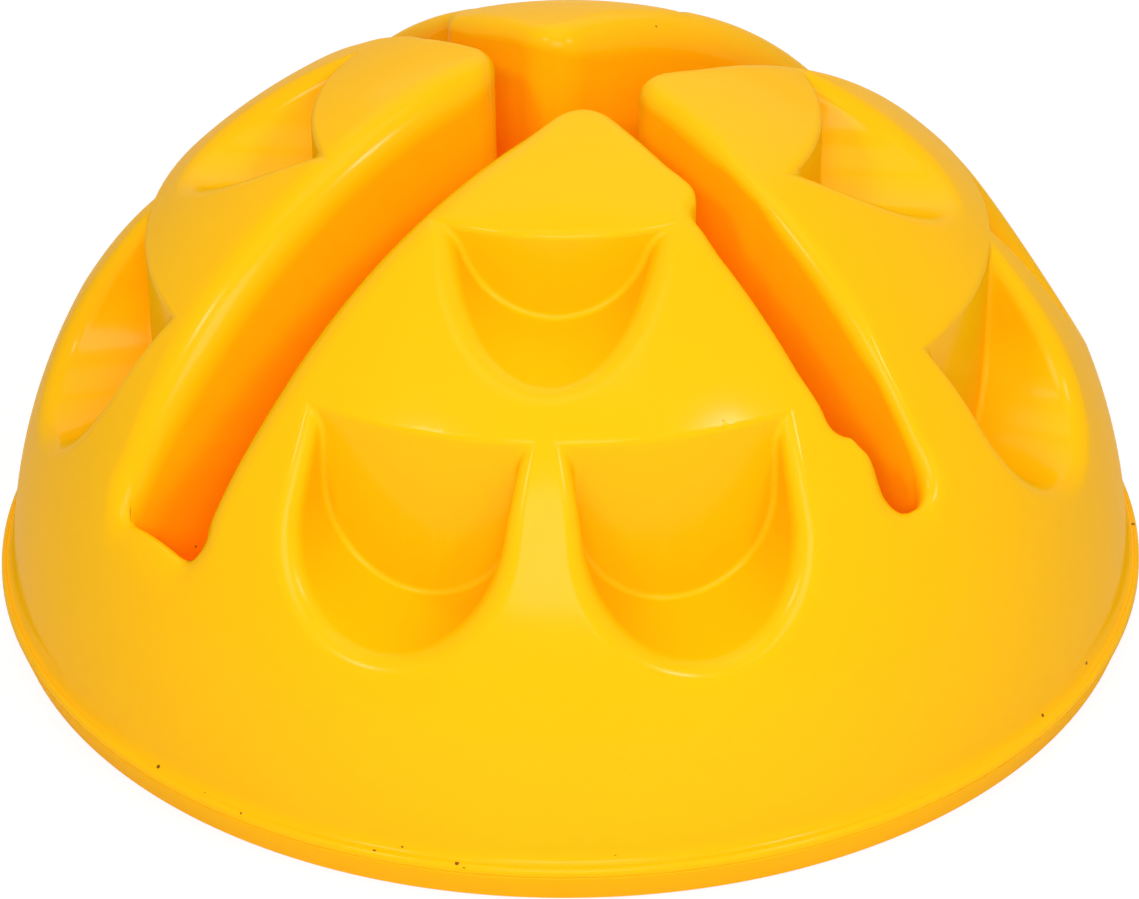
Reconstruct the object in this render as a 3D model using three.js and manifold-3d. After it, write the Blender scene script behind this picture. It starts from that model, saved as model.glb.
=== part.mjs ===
import * as THREE from 'three';
import { mergeVertices } from 'three/addons/utils/BufferGeometryUtils.js';
import Module from 'manifold-3d';

// A balance dome for children: a hollow moulded half ball with two crossing slots that hold
// planks on edge, and twelve scoops that hands and feet step into. A flat base plate closes
// it from below, eight screws hold the two together, and rubber pads stand on the floor.
// Lengths are millimetres and +Z is up. The origin is on the floor, below the crown.
// The wide slot runs along X and the narrow slot along Y.

const wasm = await Module();
wasm.setup();

// Dome shell
const domeRadius = 246.5;
const domeHeight = 243;
const wall = 4;
const flangeWidth = 4.7;
const flangeThickness = 3.4;
const flangeEdgeRounding = 2.2;
const flangeFillet = 6.8;

// Slots, seen from above
const wideSlotWidth = 43;
const wideSlotLength = 428;
const narrowSlotWidth = 20;
const narrowSlotLength = 410;
const slotFloorHeight = 30;
const crossingCornerRadius = 20;
const wideSlotEndRadius = 6;
const narrowSlotEndRadius = 8;
const reliefDepth = 10.5;
const reliefStart = 92;
const reliefEnd = 185;
const reliefCornerRadius = 5;

// Scoops, each with a floor like a gutter and an upright back wall round the dome's axis
const upperScoopBackRadius = 106.5;
const upperScoopFloor = 183;
const upperScoopHalfWidth = 40;
const lowerScoopBackRadius = 178.5;
const lowerScoopFloor = 94;
const lowerScoopHalfWidth = 42.5;
const lowerScoopTurn = 16.7;
const sectorTurn = 1.3;

// Base plate
const plateOverhang = 0.3;
const plateEdgeTaper = 4;
const plateEdgeHeight = 13.3;
const plateEdgeChamfer = 1;
const plateFloorThickness = 5;
const plateRimWidth = 24;
const ribThickness = 3;
const ribSpan = 380;

// Screws and their bosses
const screwCount = 8;
const screwDiameter = 4;
const screwLength = 22;
const screwTipLength = 3;
const screwHeadDiameter = 8;
const screwHeadHeight = 2.6;
const screwRecessWidth = 1.2;
const screwRecessLength = 4.6;
const screwRecessDepth = 1.4;
const counterboreDepth = 3.5;
const bossDiameter = 12;
const bossHeight = 26;

// Rubber pads
const padDiameter = 28;
const padThickness = 4;
const padPocketDepth = 2.5;
const padChamfer = 0.8;
const padEdgeMargin = 2.5;
const outerPadCount = 8;
const innerPadCount = 4;
const innerPadCircleRadius = 100;

// Fits
const clearance = 0.3;
const overrun = 5;

// Facets on a full turn, and steps on shorter arcs; the hollow inside is coarser
const domeFacets = 72;
const cavityFacets = 36;
const boreFacets = 12;
const padFacets = 20;
const ellipseSteps = 12;
const cavitySteps = 6;
const gutterSteps = 4;
const cavityGutterSteps = 2;
const cornerSteps = 2;
const edgeSteps = 3;

// Radii that follow the ball, and the spacing of the ribs under the walls of the narrow slot
const flangeRadius = domeRadius + flangeWidth;
const plateRadius = flangeRadius + plateOverhang;
const plateFootRadius = plateRadius - plateEdgeTaper;
const screwCircleRadius = domeRadius - wall - bossDiameter / 2;
const outerPadCircleRadius = plateFootRadius - plateEdgeChamfer - padEdgeMargin - padDiameter / 2;
const ribSpacing = narrowSlotWidth + wall;

// Levels above the floor
const plateBottom = padThickness - padPocketDepth;
const jointLevel = plateBottom + plateEdgeHeight;
const ledgeLevel = jointLevel + flangeThickness;
const plateFloorLevel = plateBottom + plateFloorThickness;
const screwSeatLevel = plateBottom + counterboreDepth;
const supportLevel = slotFloorHeight - wall - clearance;
const cutTop = plateBottom + domeHeight + overrun;

const yellow = { color: 0xffc60c, roughness: 0.3, metalness: 0 };
const steel = { color: 0xb4b8bc, roughness: 0.35, metalness: 1 };
const rubber = { color: 0x2b2b2d, roughness: 0.85, metalness: 0 };

/** Turn a closed three.js geometry into a solid that can be cut and joined. */
function toSolid(geometry) {
  const bare = geometry.clone();
  bare.deleteAttribute('normal');
  bare.deleteAttribute('uv');
  const merged = mergeVertices(bare);
  const corners = merged.index.array;
  const kept = [];
  for (let i = 0; i < corners.length; i += 3) {
    const [a, b, c] = corners.slice(i, i + 3);
    if (a !== b && b !== c && c !== a) kept.push(a, b, c);
  }
  return new wasm.Manifold(new wasm.Mesh({
    numProp: 3,
    vertProperties: new Float32Array(merged.attributes.position.array),
    triVerts: new Uint32Array(kept),
  }));
}

/** Turn a solid back into a three.js geometry. */
function toGeometry(solid) {
  const mesh = solid.getMesh();
  const geometry = new THREE.BufferGeometry();
  geometry.setAttribute('position', new THREE.BufferAttribute(mesh.vertProperties, 3));
  geometry.setIndex(new THREE.BufferAttribute(mesh.triVerts, 1));
  geometry.computeVertexNormals();
  return geometry;
}

/** Spin a profile of [radius, height] points, listed from the bottom up, about +Z. */
function lathe(profile, facets) {
  const points = profile.map(([radius, height]) => new THREE.Vector2(radius, height));
  const geometry = new THREE.LatheGeometry(points, facets);
  geometry.rotateX(Math.PI / 2);
  return geometry;
}

/** A plain upright cylinder between two levels, centred at (x, y). */
function cylinder(radius, low, high, facets, x = 0, y = 0) {
  const geometry = lathe([[0, low], [radius, low], [radius, high], [0, high]], facets);
  geometry.translate(x, y, 0);
  return toSolid(geometry);
}

/** An upright block centred at (x, y) between two levels. */
function block(width, depth, low, high, x = 0, y = 0) {
  const geometry = new THREE.BoxGeometry(width, depth, high - low);
  geometry.translate(x, y, (low + high) / 2);
  return toSolid(geometry);
}

/** The places of count pieces spread evenly on a circle, from an angle on. */
function onCircle(count, radius, firstAngle = 0) {
  return Array.from({ length: count }, (_, i) => {
    const angle = firstAngle + (2 * Math.PI * i) / count;
    return [radius * Math.cos(angle), radius * Math.sin(angle)];
  });
}

/** Points on an arc about (x, y), ends included. */
function arc(x, y, radius, from, to, steps) {
  return Array.from({ length: steps + 1 }, (_, i) => {
    const angle = from + ((to - from) * i) / steps;
    return [x + radius * Math.cos(angle), y + radius * Math.sin(angle)];
  });
}

/** Radius of the half ball, drawn in by an inset, at a level above the floor. */
function domeRadiusAt(level, inset = 0) {
  const share = (level - plateBottom) / (domeHeight - inset);
  return (domeRadius - inset) * Math.sqrt(1 - share * share);
}

/** Profile points of the half ball, drawn in by an inset, from a level up to the axis. */
function domeArc(level, inset, steps) {
  const start = Math.asin((level - plateBottom) / (domeHeight - inset));
  const points = [];
  for (let i = 0; i < steps; i += 1) {
    const angle = start + ((Math.PI / 2 - start) * i) / steps;
    const radius = (domeRadius - inset) * Math.cos(angle);
    points.push([radius, plateBottom + (domeHeight - inset) * Math.sin(angle)]);
  }
  points.push([0, plateBottom + domeHeight - inset]);
  return points;
}

/** A closed outline from corners [x, y, radius], each rounded by its own radius. */
function roundedOutline(corners) {
  const shape = new THREE.Shape();
  corners.forEach(([x, y, radius], i) => {
    const corner = new THREE.Vector2(x, y);
    const before = new THREE.Vector2(...corners[(i + corners.length - 1) % corners.length]);
    const after = new THREE.Vector2(...corners[(i + 1) % corners.length]);
    const back = before.sub(corner).normalize();
    const ahead = after.sub(corner).normalize();
    const half = Math.acos(back.dot(ahead)) / 2;
    const middle = back.clone().add(ahead).normalize();
    const centre = corner.clone().addScaledVector(middle, radius / Math.sin(half));
    const start = corner.clone().addScaledVector(back, radius / Math.tan(half));
    const end = corner.clone().addScaledVector(ahead, radius / Math.tan(half));
    if (i === 0) shape.moveTo(start.x, start.y);
    else shape.lineTo(start.x, start.y);
    const from = start.clone().sub(centre).angle();
    const to = end.clone().sub(centre).angle();
    shape.absarc(centre.x, centre.y, radius, from, to, back.cross(ahead) > 0);
  });
  shape.closePath();
  return shape;
}

/** The two crossing slots as one upright solid, grown all round for the wall about them. */
function slotCut(grow) {
  const wide = wideSlotWidth / 2 + grow;
  const narrow = narrowSlotWidth / 2 + grow;
  const wideEnd = wideSlotLength / 2 + grow;
  const narrowEnd = narrowSlotLength / 2 + grow;
  const relief = narrow + reliefDepth;
  const near = reliefStart - grow;
  const far = reliefEnd + grow;
  const crossing = Math.max(crossingCornerRadius - grow, 0);
  const outerCorner = Math.max(reliefCornerRadius - grow, 0);
  const innerCorner = reliefCornerRadius + grow;
  const halfTurn = [
    [wideEnd, -wide, wideSlotEndRadius + grow],
    [wideEnd, wide, wideSlotEndRadius + grow],
    [narrow, wide, crossing],
    [narrow, near, outerCorner],
    [relief, near, innerCorner],
    [relief, far, innerCorner],
    [narrow, far, outerCorner],
    [narrow, narrowEnd, narrowSlotEndRadius + grow],
    [-narrow, narrowEnd, narrowSlotEndRadius + grow],
    [-narrow, wide, crossing],
  ];
  const otherHalf = halfTurn.map(([x, y, radius]) => [-x, -y, radius]);
  const low = slotFloorHeight - grow;
  const outline = roundedOutline([...halfTurn, ...otherHalf]);
  const geometry = new THREE.ExtrudeGeometry(outline, {
    depth: cutTop - low, bevelEnabled: false, curveSegments: cornerSteps,
  });
  geometry.translate(0, 0, low);
  return toSolid(geometry);
}

/** One scoop: a gutter that runs out from the axis, stopped by an upright round back wall. */
function scoopCut(scoop, turn, grow) {
  const [backFacets, steps] = grow > 0 ? [cavityFacets, cavityGutterSteps] : [domeFacets, gutterSteps];
  const halfWidth = scoop.halfWidth + grow;
  const shape = new THREE.Shape();
  const middle = scoop.floor + scoop.halfWidth;
  const top = Math.max(cutTop, middle + overrun);
  shape.moveTo(halfWidth, top);
  shape.lineTo(-halfWidth, top);
  shape.lineTo(-halfWidth, middle);
  shape.absarc(0, middle, halfWidth, Math.PI, 2 * Math.PI, false);
  shape.closePath();
  const geometry = new THREE.ExtrudeGeometry(shape, {
    depth: plateRadius + overrun, bevelEnabled: false, curveSegments: steps,
  });
  geometry.applyMatrix4(new THREE.Matrix4().makeBasis(
    new THREE.Vector3(0, 1, 0), new THREE.Vector3(0, 0, 1), new THREE.Vector3(1, 0, 0),
  ));
  geometry.rotateZ(turn);
  const core = cylinder(scoop.backRadius - grow, 0, top + overrun, backFacets);
  return toSolid(geometry).subtract(core);
}

/** All twelve scoops: one upper and two lower ones in each quarter between the slots. */
function scoopCuts(grow) {
  const upper = {
    backRadius: upperScoopBackRadius, floor: upperScoopFloor, halfWidth: upperScoopHalfWidth,
  };
  const lower = {
    backRadius: lowerScoopBackRadius, floor: lowerScoopFloor, halfWidth: lowerScoopHalfWidth,
  };
  const cuts = [];
  for (let quarter = 0; quarter < 4; quarter += 1) {
    // each quarter's scoops turn a little towards the narrow slot, where the quarter is wider
    const lean = THREE.MathUtils.degToRad(quarter % 2 === 0 ? sectorTurn : -sectorTurn);
    const middle = Math.PI / 4 + (Math.PI / 2) * quarter + lean;
    const spread = THREE.MathUtils.degToRad(lowerScoopTurn);
    cuts.push(scoopCut(upper, middle, grow));
    cuts.push(scoopCut(lower, middle - spread, grow));
    cuts.push(scoopCut(lower, middle + spread, grow));
  }
  return cuts;
}

/** The half ball with its flange, before anything is cut out of it. */
function domeBlank() {
  const edge = flangeRadius - flangeEdgeRounding;
  const edgeLevel = ledgeLevel - flangeEdgeRounding;
  const filletLevel = ledgeLevel + flangeFillet;
  const filletWidth = edge - domeRadiusAt(filletLevel);
  const profile = [
    [0, jointLevel],
    [flangeRadius, jointLevel],
    ...arc(edge, edgeLevel, flangeEdgeRounding, 0, Math.PI / 2, edgeSteps),
  ];
  // the ledge runs up into the ball in a hollow fillet, a quarter of an ellipse
  for (let i = 1; i < edgeSteps; i += 1) {
    const angle = (Math.PI / 2) * (i / edgeSteps);
    const radius = edge - filletWidth * Math.sin(angle);
    profile.push([radius, filletLevel - flangeFillet * Math.cos(angle)]);
  }
  profile.push(...domeArc(filletLevel, 0, ellipseSteps));
  return toSolid(lathe(profile, domeFacets));
}

/** The hollow under the shell, one wall inside the ball, slots and scoops, round the bosses. */
function cavity() {
  const low = jointLevel - overrun;
  const profile = [
    [0, low],
    [domeRadiusAt(jointLevel, wall), low],
    ...domeArc(jointLevel, wall, cavitySteps),
  ];
  let hollow = toSolid(lathe(profile, cavityFacets)).subtract(slotCut(wall));
  for (const cut of scoopCuts(wall)) hollow = hollow.subtract(cut);
  for (const [x, y] of screwPlaces()) {
    const boss = cylinder(bossDiameter / 2, low - overrun, jointLevel + bossHeight, boreFacets, x, y);
    hollow = hollow.subtract(boss);
  }
  return hollow;
}

/** The shell: the hollow ball with its slots, scoops and screw holes. */
function domeShell() {
  let shell = domeBlank().subtract(slotCut(0));
  for (const cut of scoopCuts(0)) shell = shell.subtract(cut);
  shell = shell.subtract(cavity());
  const holeTop = screwSeatLevel + screwLength + 2 * clearance;
  const holeRadius = screwDiameter / 2 + clearance;
  for (const [x, y] of screwPlaces()) {
    shell = shell.subtract(cylinder(holeRadius, jointLevel - overrun, holeTop, boreFacets, x, y));
  }
  return shell;
}

/** Where the screws stand: midway between the outer pads. */
function screwPlaces() {
  return onCircle(screwCount, screwCircleRadius, Math.PI / screwCount);
}

/** Where the rubber pads stand: a ring near the edge and one under the slots. */
function padPlaces() {
  return [
    ...onCircle(outerPadCount, outerPadCircleRadius),
    ...onCircle(innerPadCount, innerPadCircleRadius),
  ];
}

/** The base plate: a shallow tray whose rim carries the flange and whose ribs back the slots. */
function basePlate() {
  const rim = plateRadius - plateRimWidth;
  const profile = [
    [0, plateBottom],
    [plateFootRadius - plateEdgeChamfer, plateBottom],
    [plateFootRadius, plateBottom + plateEdgeChamfer],
    [plateRadius, jointLevel],
    [rim, jointLevel],
    [rim, plateFloorLevel],
    [0, plateFloorLevel],
  ];
  let plate = toSolid(lathe(profile, domeFacets));
  const ribLow = (plateBottom + plateFloorLevel) / 2;
  for (const side of [-ribSpacing / 2, ribSpacing / 2]) {
    plate = plate.add(block(ribSpan, ribThickness, ribLow, supportLevel, 0, side));
    plate = plate.add(block(ribThickness, ribSpan, ribLow, supportLevel, side, 0));
  }
  for (const [x, y] of padPlaces()) {
    const pocketRadius = padDiameter / 2 + clearance;
    plate = plate.subtract(cylinder(pocketRadius, 0, plateBottom + padPocketDepth, padFacets, x, y));
  }
  for (const [x, y] of screwPlaces()) {
    const holeRadius = screwDiameter / 2 + clearance;
    const boreRadius = screwHeadDiameter / 2 + clearance;
    plate = plate.subtract(cylinder(holeRadius, 0, jointLevel + overrun, boreFacets, x, y));
    plate = plate.subtract(cylinder(boreRadius, 0, screwSeatLevel, boreFacets, x, y));
  }
  return plate;
}

/** A pan head screw, head down, with the underside of its head at height 0. */
function screwGeometry() {
  const headRadius = screwHeadDiameter / 2;
  const shank = screwDiameter / 2;
  const profile = [
    [0, -screwHeadHeight],
    [headRadius - shank / 2, -screwHeadHeight],
    [headRadius, -screwHeadHeight / 2],
    [headRadius, 0],
    [shank, 0],
    [shank, screwLength - screwTipLength],
    [0, screwLength],
  ];
  const recessTop = screwRecessDepth - screwHeadHeight;
  const recessLow = -screwHeadHeight - overrun;
  const recess = block(screwRecessLength, screwRecessWidth, recessLow, recessTop)
    .add(block(screwRecessWidth, screwRecessLength, recessLow, recessTop));
  return toGeometry(toSolid(lathe(profile, boreFacets)).subtract(recess));
}

/** A round rubber pad with chamfered edges, standing on height 0. */
function padGeometry() {
  const radius = padDiameter / 2;
  return lathe([
    [0, 0],
    [radius - padChamfer, 0],
    [radius, padChamfer],
    [radius, padThickness - padChamfer],
    [radius - padChamfer, padThickness],
    [0, padThickness],
  ], padFacets);
}

/** A named mesh with its own material. */
function piece(name, geometry, look, [x, y, z] = [0, 0, 0]) {
  const mesh = new THREE.Mesh(geometry, new THREE.MeshStandardMaterial(look));
  mesh.name = name;
  mesh.position.set(x, y, z);
  return mesh;
}

const balanceDome = new THREE.Group();
balanceDome.add(piece('dome_shell', toGeometry(domeShell()), yellow));
balanceDome.add(piece('base_plate', toGeometry(basePlate()), yellow));
screwPlaces().forEach(([x, y], i) => {
  balanceDome.add(piece(`base_screw_${i + 1}`, screwGeometry(), steel, [x, y, screwSeatLevel]));
});
padPlaces().forEach(([x, y], i) => {
  balanceDome.add(piece(`foot_pad_${i + 1}`, padGeometry(), rubber, [x, y, 0]));
});

export default balanceDome;
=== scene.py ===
"""Looks of a children's balance dome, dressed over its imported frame.

The dome is a hollow half ball of glossy yellow polyethylene with two crossing slots for boards
and twelve scoops for hands and feet. A base plate closes it from below, eight screws hold the
two together, and twelve rubber pads stand on the floor. +Z is up, the wide slot runs along X and
the narrow slot along Y. Meshes are modelled in millimetres and brought to metres when finished.
"""

import logging
import math
from dataclasses import dataclass, field
from enum import Enum

import bmesh
import bpy
import numpy as np
from bmesh.types import BMEdge, BMesh, BMVert
from bpy.types import ID, Material, Mesh, Node, NodeSocket, NodeTree, Object, bpy_prop_collection
from mathutils import Matrix, Vector


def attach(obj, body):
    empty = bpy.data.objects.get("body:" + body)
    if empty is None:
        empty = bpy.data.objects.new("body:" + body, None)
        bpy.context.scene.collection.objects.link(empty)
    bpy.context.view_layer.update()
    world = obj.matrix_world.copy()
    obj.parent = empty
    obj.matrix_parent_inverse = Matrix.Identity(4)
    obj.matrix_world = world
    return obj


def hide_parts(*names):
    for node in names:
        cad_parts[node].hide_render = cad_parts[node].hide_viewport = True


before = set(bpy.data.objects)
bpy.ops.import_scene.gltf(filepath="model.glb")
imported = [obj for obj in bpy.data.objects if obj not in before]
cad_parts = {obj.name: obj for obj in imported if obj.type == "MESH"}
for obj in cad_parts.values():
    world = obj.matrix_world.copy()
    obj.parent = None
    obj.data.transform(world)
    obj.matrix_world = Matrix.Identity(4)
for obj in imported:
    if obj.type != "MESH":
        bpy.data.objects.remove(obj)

Pair = tuple[float, float]
Triple = tuple[float, float, float]

LOG = logging.getLogger("balance_dome")
MM = 0.001
MM_PER_M = 1000
TURN = 2 * math.pi
RIGHT_ANGLE = math.pi / 2
UP = Vector((0, 0, 1))
SHARP_ANGLE = math.radians(32)
# Least radius and length that are divided by.
AXIS_GUARD = 1e-6
TINY = 1e-9
# In mm: doubles that are merged, places that count as one, and how far a tool passes a face.
MERGE_DISTANCE = 1e-4
SAME_PLACE = 0.01
OVERLAP = 5
# Cosines between two surfaces past which their rounded edge grows no more.
COSINE_LIMITS = (-0.45, 0.96)
# Sockets of a colour mix. Their names belong to the plain values' sockets too.
MIX_A, MIX_B, MIX_RESULT = 6, 7, 2


def colour(code: str) -> tuple[float, float, float, float]:
    """Turn an sRGB hex code into a linear colour.

    Args:
        code: Six hex digits after a hash sign.

    Returns:
        Linear red, green, blue and an alpha of 1.
    """
    channels = (int(code[i : i + 2], 16) / 255 for i in (1, 3, 5))
    linear = (c / 12.92 if c <= 0.04045 else ((c + 0.055) / 1.055) ** 2.4 for c in channels)
    return (*linear, 1.0)


def add_node(tree: NodeTree, kind: str, sockets: dict | None = None, **settings) -> Node:
    """Add one node with its settings, values and links.

    Args:
        tree: The node tree that gets the node.
        kind: The node's type name without its ShaderNode prefix.
        sockets: For each input, a plain value or the output socket that feeds it.
        settings: Properties of the node itself.

    Returns:
        The new node.
    """
    node = tree.nodes.new("ShaderNode" + kind)
    for name, value in settings.items():
        setattr(node, name, value)
    for key, value in (sockets or {}).items():
        if isinstance(value, NodeSocket):
            tree.links.new(value, node.inputs[key])
        else:
            node.inputs[key].default_value = value
    return node


def new_material(name: str) -> tuple[Material, NodeTree]:
    """Make an empty node material, and give it with its tree."""
    material = bpy.data.materials.new(name)
    material.use_nodes = True
    material.node_tree.nodes.clear()
    return material, material.node_tree


@dataclass
class Field:
    """Distance to a surface at many points, negative inside it, with its slope there."""

    value: np.ndarray
    slope: np.ndarray

    def inverse(self) -> "Field":
        """The same surface with inside and outside swapped."""
        return Field(-self.value, -self.slope)

    def rounded_by(self, other: "Field", radius: float | np.ndarray) -> "Field":
        """Keep what is inside both surfaces, with the edge between them rounded.

        Args:
            other: The second surface.
            radius: Radius of the rounded edge, whatever the angle between the surfaces.

        Returns:
            The surface of what both share.
        """
        turn = np.clip(np.einsum("ij,ij->i", self.slope, other.slope), *COSINE_LIMITS)
        reach = radius * (1 - turn)
        near = np.maximum(self.value + reach, 0)
        far = np.maximum(other.value + reach, 0)
        both = np.hypot(near, far)
        value = np.minimum(-reach, np.maximum(self.value, other.value)) + both
        plain = np.where((self.value > other.value)[:, None], self.slope, other.slope)
        share = np.maximum(both, TINY)[:, None]
        blend = (near[:, None] * self.slope + far[:, None] * other.slope) / share
        rounded = (near > 0) & (far > 0)
        return Field(value, np.where(rounded[:, None], blend, plain))

    def joined_to(self, other: "Field", radius: float) -> "Field":
        """Keep what is inside either surface, with a fillet in the corner between them."""
        return self.inverse().rounded_by(other.inverse(), radius).inverse()

    def cut_by(self, other: "Field", radius: float | np.ndarray) -> "Field":
        """Take away what is inside the other surface, with the rim rounded."""
        return self.rounded_by(other.inverse(), radius)


def drum(points: np.ndarray, radius: float) -> Field:
    """Distance to an upright round wall about the Z axis."""
    reach = np.maximum(np.hypot(points[:, 0], points[:, 1]), AXIS_GUARD)
    slope = np.column_stack([points[:, :2] / reach[:, None], np.zeros(len(points))])
    return Field(reach - radius, slope)


def eased(values: np.ndarray) -> np.ndarray:
    """Values cut off below 0 and above 1, with a soft start and end between them."""
    share = np.clip(values, 0, 1)
    return share * share * (3 - 2 * share)


def column(points: np.ndarray, high: Pair, radius: float, low: Pair | None = None) -> Field:
    """Distance to an upright column of rectangular section.

    Args:
        points: Where to measure.
        high: Highest X and Y of the section.
        radius: Radius of its four upright edges.
        low: Lowest X and Y, or none for a column about the axis.

    Returns:
        The column's surface.
    """
    top = np.array(high)
    bottom = -top if low is None else np.array(low)
    middle = (bottom + top) / 2
    half = (top - bottom) / 2 - radius
    offset = points[:, :2] - middle
    past = np.abs(offset) - half
    outside = np.maximum(past, 0)
    reach = np.hypot(outside[:, 0], outside[:, 1])
    inner = np.minimum(past.max(1), 0)
    nearer = (past == past.max(1)[:, None]).astype(float)
    outward = outside / np.maximum(reach, TINY)[:, None]
    direction = np.where(reach[:, None] > TINY, outward, nearer)
    slope = np.column_stack([np.sign(offset) * direction, np.zeros(len(points))])
    return Field(reach + inner - radius, slope)


def gutter(points: np.ndarray, turn: float, floor: float, half_width: float) -> Field:
    """Distance to a trough with a half-round floor and upright sides, which runs out from the axis.

    Args:
        points: Where to measure.
        turn: Direction of the trough about +Z, in radians.
        floor: Height of its lowest line.
        half_width: Half its width, and the radius of its floor.

    Returns:
        The trough's surface.
    """
    across = np.array([-math.sin(turn), math.cos(turn)])
    side = points[:, :2] @ across
    drop = np.minimum(points[:, 2] - floor - half_width, 0)
    reach = np.maximum(np.hypot(side, drop), AXIS_GUARD)
    slope = np.column_stack([(side / reach)[:, None] * across, drop / reach])
    return Field(reach - half_width, slope)


def new_object(name: str, data: ID) -> Object:
    """Put a mesh, a lamp or a camera into the scene as an object at the origin."""
    piece = bpy.data.objects.new(name, data)
    bpy.context.scene.collection.objects.link(piece)
    return piece


def rows(items: bpy_prop_collection, name: str) -> np.ndarray:
    """A property of all items of a mesh's collection, with a row of three values for each."""
    values = np.empty(len(items) * 3)
    items.foreach_get(name, values)
    return values.reshape(-1, 3)


def verts_in(items: list) -> list[BMVert]:
    """Pick the verts out of a mix of verts, edges and faces."""
    return [item for item in items if isinstance(item, BMVert)]


def turn_verts(bm: BMesh, verts: list[BMVert], angle: float, axis: str) -> None:
    """Turn some verts about an axis through the origin."""
    bmesh.ops.rotate(bm, verts=verts, matrix=Matrix.Rotation(angle, 3, axis))


def round_edges(bm: BMesh, edges: list[BMEdge], radius: float, segments: int) -> None:
    """Round some edges with a number of facets."""
    bmesh.ops.bevel(
        bm, geom=edges, offset=radius, offset_type="OFFSET", segments=segments, profile=0.5,
        affect="EDGES", material=-1, clamp_overlap=True,
    )


def upright_edges(bm: BMesh, x: float, y: float) -> list[BMEdge]:
    """Find the upright edges at (x, y) and at its mirror images in the four quarters."""
    return [
        edge for edge in bm.edges
        if abs(edge.verts[0].co.z - edge.verts[1].co.z) > 1
        and abs(abs(edge.verts[0].co.x) - x) < SAME_PLACE
        and abs(abs(edge.verts[0].co.y) - y) < SAME_PLACE
    ]


def finished(bm: BMesh, name: str) -> Object:
    """Turn a bmesh into an object, with its doubles merged and its faces pointing out."""
    bmesh.ops.remove_doubles(bm, verts=bm.verts, dist=MERGE_DISTANCE)
    bmesh.ops.recalc_face_normals(bm, faces=bm.faces)
    mesh = bpy.data.meshes.new(name)
    bm.to_mesh(mesh)
    bm.free()
    return new_object(name, mesh)


def settle(piece: Object) -> None:
    """Apply a piece's modifiers to its mesh."""
    graph = bpy.context.evaluated_depsgraph_get()
    mesh = bpy.data.meshes.new_from_object(piece.evaluated_get(graph))
    old = piece.data
    piece.modifiers.clear()
    piece.data = mesh
    bpy.data.meshes.remove(old)


class Join(Enum):
    """How a tool piece changes the piece that it meets."""

    CUT = "DIFFERENCE"
    ADD = "UNION"


def combine(piece: Object, tool: Object, how: Join) -> None:
    """Cut a tool out of a piece or add it, and use the tool up.

    Args:
        piece: The piece that is changed.
        tool: The closed piece that is cut out or added.
        how: Whether it is cut or added.
    """
    boolean = piece.modifiers.new("combine", "BOOLEAN")
    boolean.operation = how.value
    boolean.solver = "MANIFOLD"
    boolean.object = tool
    settle(piece)
    mesh = tool.data
    bpy.data.objects.remove(tool)
    bpy.data.meshes.remove(mesh)


def spun(profile: list[Pair], steps: int, name: str) -> Object:
    """Spin a profile of (radius, height) points about +Z into a closed piece.

    Args:
        profile: Points from the axis round to the axis again.
        steps: Facets on a full turn.
        name: Name of the piece.

    Returns:
        The new piece.
    """
    bm = bmesh.new()
    verts = [bm.verts.new((radius, 0, height)) for radius, height in profile]
    edges = [bm.edges.new(pair) for pair in zip(verts, verts[1:])]
    bmesh.ops.spin(bm, geom=verts + edges, axis=UP, angle=TURN, steps=steps, use_merge=True)
    return finished(bm, name)


def drill(piece: Object, place: Pair, radius: float, low: float, high: float, steps: int) -> None:
    """Cut an upright round hole out of a piece.

    Args:
        piece: The piece that is cut.
        place: X and Y of the hole.
        radius: Its radius.
        low: Height at which it starts.
        high: Height at which it ends.
        steps: Facets on a full turn.
    """
    bm = bmesh.new()
    bmesh.ops.create_cone(
        bm, cap_ends=True, segments=steps, radius1=radius, radius2=radius, depth=high - low,
        matrix=Matrix.Translation((*place, (low + high) / 2)),
    )
    combine(piece, finished(bm, "drill"), Join.CUT)


def arc(x: float, y: float, radius: float, start: float, end: float, steps: int) -> list[Pair]:
    """Points on an arc about (x, y) from one angle to another, in degrees, ends included."""
    angles = (math.radians(start + (end - start) * i / steps) for i in range(steps + 1))
    return [(x + radius * math.cos(a), y + radius * math.sin(a)) for a in angles]


def on_circle(count: int, radius: float, first: float = 0) -> list[Pair]:
    """Places spread evenly on a circle from an angle on, in radians."""
    angles = (first + TURN * i / count for i in range(count))
    return [(radius * math.cos(a), radius * math.sin(a)) for a in angles]


def shade_by_angle(mesh: Mesh) -> None:
    """Shade a mesh smooth, but sharp across its sharp edges."""
    mesh.polygons.foreach_set("use_smooth", [True] * len(mesh.polygons))
    mesh.set_sharp_from_angle(angle=SHARP_ANGLE)


def smoothed(piece: Object) -> Object:
    """Bring a piece to metres and shade it by its angles."""
    piece.data.transform(Matrix.Scale(MM, 4))
    shade_by_angle(piece.data)
    return piece


def copy_at(piece: Object, name: str, place: Triple) -> Object:
    """Copy a piece with its mesh moved to a place, in millimetres."""
    mesh = piece.data.copy()
    mesh.transform(Matrix.Translation(Vector(place) * MM))
    return new_object(name, mesh)


def dress(piece: Object, finish: Material, node: str) -> None:
    """Give a piece its finish and let it stand for its node.

    Args:
        piece: The finished piece.
        finish: Its material.
        node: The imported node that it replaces.
    """
    piece.data.materials.clear()
    piece.data.materials.append(finish)
    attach(piece, "root")
    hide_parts(node)
    LOG.info("%s: %d faces, stands for %s", piece.name, len(piece.data.polygons), node)


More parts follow.
